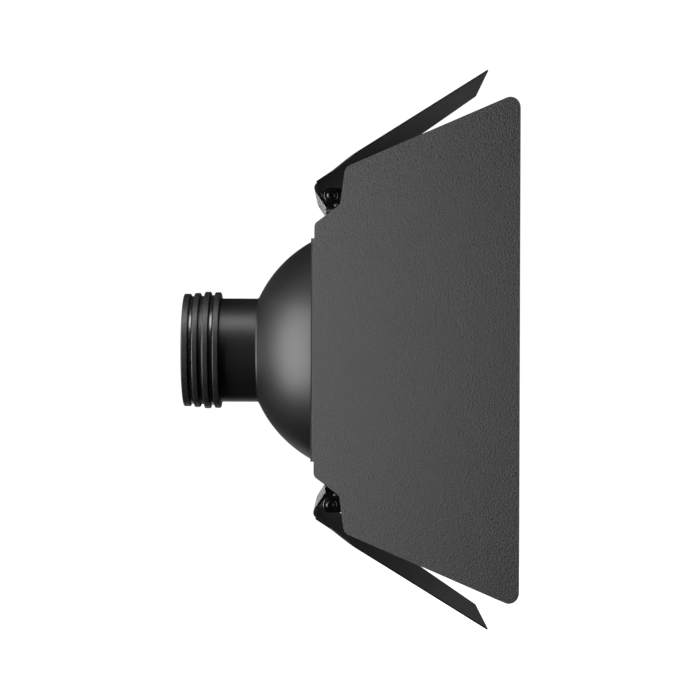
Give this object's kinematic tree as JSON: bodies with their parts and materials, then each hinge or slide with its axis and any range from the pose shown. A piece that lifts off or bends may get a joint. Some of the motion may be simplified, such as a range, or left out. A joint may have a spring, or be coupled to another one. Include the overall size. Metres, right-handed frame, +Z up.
{
  "type": "flash reflector with barn doors",
  "caption": "Studio flash reflector: a spun black bowl on a rubber-collared neck, with a turning square frame of hinged barn-door leaves that shape the beam.",
  "frame": {"origin": "on the optical axis, at the middle of the rubber collar's bore", "axes": "+X forward along the optical axis towards the leaves, +Z up, +Y to the left"},
  "size_m": [0.3191, 0.5664, 0.5446],
  "materials": {
    "bowl_coat": "satin",
    "neck_coat": "satin",
    "collar_rubber": "matte",
    "band_gloss": "gloss",
    "frame_coat": "matte",
    "leaf_coat": "matte",
    "spring_steel": "satin",
    "rivet_steel": "satin",
    "zinc_rivet": "satin",
    "screw_steel": "satin",
    "inner_silver": "satin",
    "fibre": "matte"
  },
  "bodies": {
    "reflector": {"reflector_bowl": "bowl_coat", "rim_bead": "bowl_coat", "neck_tube": "neck_coat", "neck_flange": "inner_silver", "rubber_collar": "collar_rubber", "collar_band_rear": "band_gloss", "collar_band_front": "band_gloss"},
    "door_frame": {"frame_pan": "frame_coat", "locating_ring": "frame_coat", "rim_clips": "spring_steel", "clip_rivets": "rivet_steel", "hinge_lugs_top": "frame_coat", "hinge_lugs_bottom": "frame_coat", "hinge_lugs_right": "frame_coat", "hinge_lugs_left": "frame_coat", "lug_rivets": "zinc_rivet", "pivot_screws": "screw_steel", "pivot_washers": "screw_steel", "friction_washers": "fibre", "lock_nuts": "screw_steel", "lug_pins": "screw_steel"},
    "upper_leaf": {"leaf_top": "leaf_coat"},
    "lower_leaf": {"leaf_bottom": "leaf_coat"},
    "right_leaf": {"leaf_right": "leaf_coat"},
    "left_leaf": {"leaf_left": "leaf_coat"}
  },
  "joints": [
    {"name": "frame_turn", "type": "hinge", "parent": "reflector", "child": "door_frame", "pos_m": [0.13, 0, 0], "axis": [1, 0, 0], "continuous": true},
    {"name": "upper_leaf_hinge", "type": "hinge", "parent": "door_frame", "child": "upper_leaf", "pos_m": [0.1316, 0, 0.15], "axis": [0, -1, 0], "range_deg": [-85.3, 61.2]},
    {"name": "lower_leaf_hinge", "type": "hinge", "parent": "door_frame", "child": "lower_leaf", "pos_m": [0.1316, 0, -0.15], "axis": [0, 1, 0], "range_deg": [-84.6, 61.9]},
    {"name": "right_leaf_hinge", "type": "hinge", "parent": "door_frame", "child": "right_leaf", "pos_m": [0.1316, -0.15, 0], "axis": [0, 0, -1], "range_deg": [-33.5, 61.5]},
    {"name": "left_leaf_hinge", "type": "hinge", "parent": "door_frame", "child": "left_leaf", "pos_m": [0.1316, 0.15, 0], "axis": [0, 0, 1], "range_deg": [-33.5, 61.5]}
  ]
}
